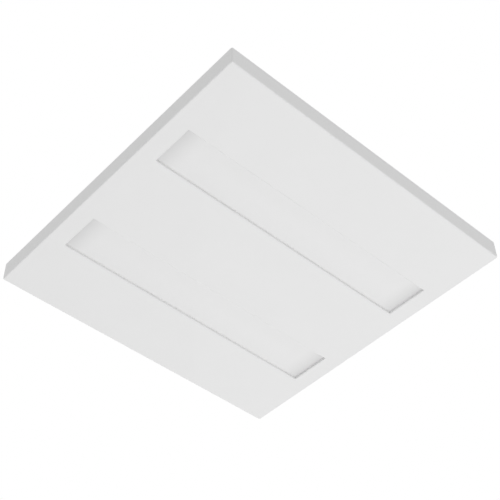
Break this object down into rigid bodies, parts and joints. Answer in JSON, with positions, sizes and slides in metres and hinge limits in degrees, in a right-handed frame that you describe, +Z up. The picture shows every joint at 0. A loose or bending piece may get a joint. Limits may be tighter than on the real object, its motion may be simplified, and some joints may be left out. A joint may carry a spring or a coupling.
{
  "type": "surface mount led light",
  "caption": "Flat square ceiling light: white folded-steel cover with long recessed opal windows, hinged on a steel tray that holds the boards, driver and terminal block.",
  "frame": {"origin": "on the ceiling plane, in the middle of the four ceiling slots", "axes": "+Z up into the ceiling, +X along the two windows, +Y towards the hinges"},
  "size_m": [0.6, 0.6, 0.039],
  "materials": {
    "white_powder_coat": "fine textured satin powder coat",
    "galvanised_steel": "hot-dip galvanised, fine spangle",
    "zinc_steel": "bright zinc plated",
    "spring_steel": "polished tempered strip",
    "opal_acrylic": "opal, satin",
    "aluminium_sheet": "mill finish",
    "white_polycarbonate": "high-reflectance matt white",
    "circuit_board_white": "white solder mask",
    "led_package": "ceramic frame with yellow phosphor",
    "nylon_white": "moulded",
    "driver_housing": "moulded, fine spark texture",
    "circuit_board_green": "green solder mask",
    "driver_parts": "black moulded and sleeved",
    "terminal_grey": "moulded polyamide",
    "button_orange": "moulded polyamide",
    "copper_tinned": "tin plated",
    "brass_stud": "bright",
    "wire_brown": "PVC sleeve",
    "wire_blue": "PVC sleeve",
    "wire_green_yellow": "PVC sleeve, yellow with green stripes",
    "wire_red": "PVC sleeve",
    "wire_black": "PVC sleeve",
    "rubber_grey": "moulded"
  },
  "bodies": {
    "root": {"base_tray": "galvanised_steel", "blanking_plug": "rubber_grey", "board_connectors": "nylon_white", "board_links": "nylon_white", "board_screws": "zinc_steel", "cable_clamp": "terminal_grey", "cable_clamp_screws": "zinc_steel", "cable_grommet": "rubber_grey", "carrier_rivets": "aluminium_sheet", "catch_rivets": "aluminium_sheet", "driver_base": "zinc_steel", "driver_circuit_board": "circuit_board_green", "driver_components": "driver_parts", "driver_cover": "driver_housing", "driver_screws": "zinc_steel", "driver_terminals": "terminal_grey", "earth_lug": "copper_tinned", "earth_nut": "brass_stud", "earth_stud": "brass_stud", "earth_washer": "zinc_steel", "hinge_base_leaf_left": "zinc_steel", "hinge_base_leaf_right": "zinc_steel", "hinge_pin_left": "zinc_steel", "hinge_pin_right": "zinc_steel", "hinge_rivets": "zinc_steel", "lead_clips": "nylon_white", "lead_negative_catch_side": "wire_black", "lead_negative_hinge_side": "wire_black", "lead_positive_catch_side": "wire_red", "lead_positive_hinge_side": "wire_red", "led_board_catch_side_a": "circuit_board_white", "led_board_catch_side_b": "circuit_board_white", "led_board_hinge_side_a": "circuit_board_white", "led_board_hinge_side_b": "circuit_board_white", "led_carrier_catch_side": "aluminium_sheet", "led_carrier_hinge_side": "aluminium_sheet", "led_packages_catch_side": "led_package", "led_packages_hinge_side": "led_package", "spring_catch_left": "spring_steel", "spring_catch_right": "spring_steel", "terminal_block": "terminal_grey", "terminal_contacts": "copper_tinned", "terminal_screws": "zinc_steel", "trough_push_rivets": "nylon_white", "white_trough_catch_side": "white_polycarbonate", "white_trough_hinge_side": "white_polycarbonate", "wire_earth": "wire_green_yellow", "wire_live": "wire_brown", "wire_neutral": "wire_blue"},
    "cover": {"diffuser_catch_side": "opal_acrylic", "diffuser_end_stops": "zinc_steel", "diffuser_hinge_side": "opal_acrylic", "diffuser_rails_catch_side": "zinc_steel", "diffuser_rails_hinge_side": "zinc_steel", "front_cover": "white_powder_coat", "hinge_cover_leaf_left": "zinc_steel", "hinge_cover_leaf_right": "zinc_steel"},
    "live_button": {"release_button_live": "button_orange"},
    "neutral_button": {"release_button_neutral": "button_orange"},
    "earth_button": {"release_button_earth": "button_orange"}
  },
  "joints": [
    {"name": "cover_swing", "type": "hinge", "parent": "root", "child": "cover", "pos_m": [0, 0.295, -0.009], "axis": [1, 0, 0], "range_deg": [0, 90], "deforming": ["spring_catch_left", "spring_catch_right"]},
    {"name": "live_button_press", "type": "slide", "parent": "root", "child": "live_button", "axis": [0, 0, 1], "range_m": [0, 0.0015], "stiffness_N_per_m": 1500, "springref_m": -0.0005},
    {"name": "neutral_button_press", "type": "slide", "parent": "root", "child": "neutral_button", "axis": [0, 0, 1], "range_m": [0, 0.0015], "stiffness_N_per_m": 1500, "springref_m": -0.0005},
    {"name": "earth_button_press", "type": "slide", "parent": "root", "child": "earth_button", "axis": [0, 0, 1], "range_m": [0, 0.0015], "stiffness_N_per_m": 1500, "springref_m": -0.0005}
  ]
}
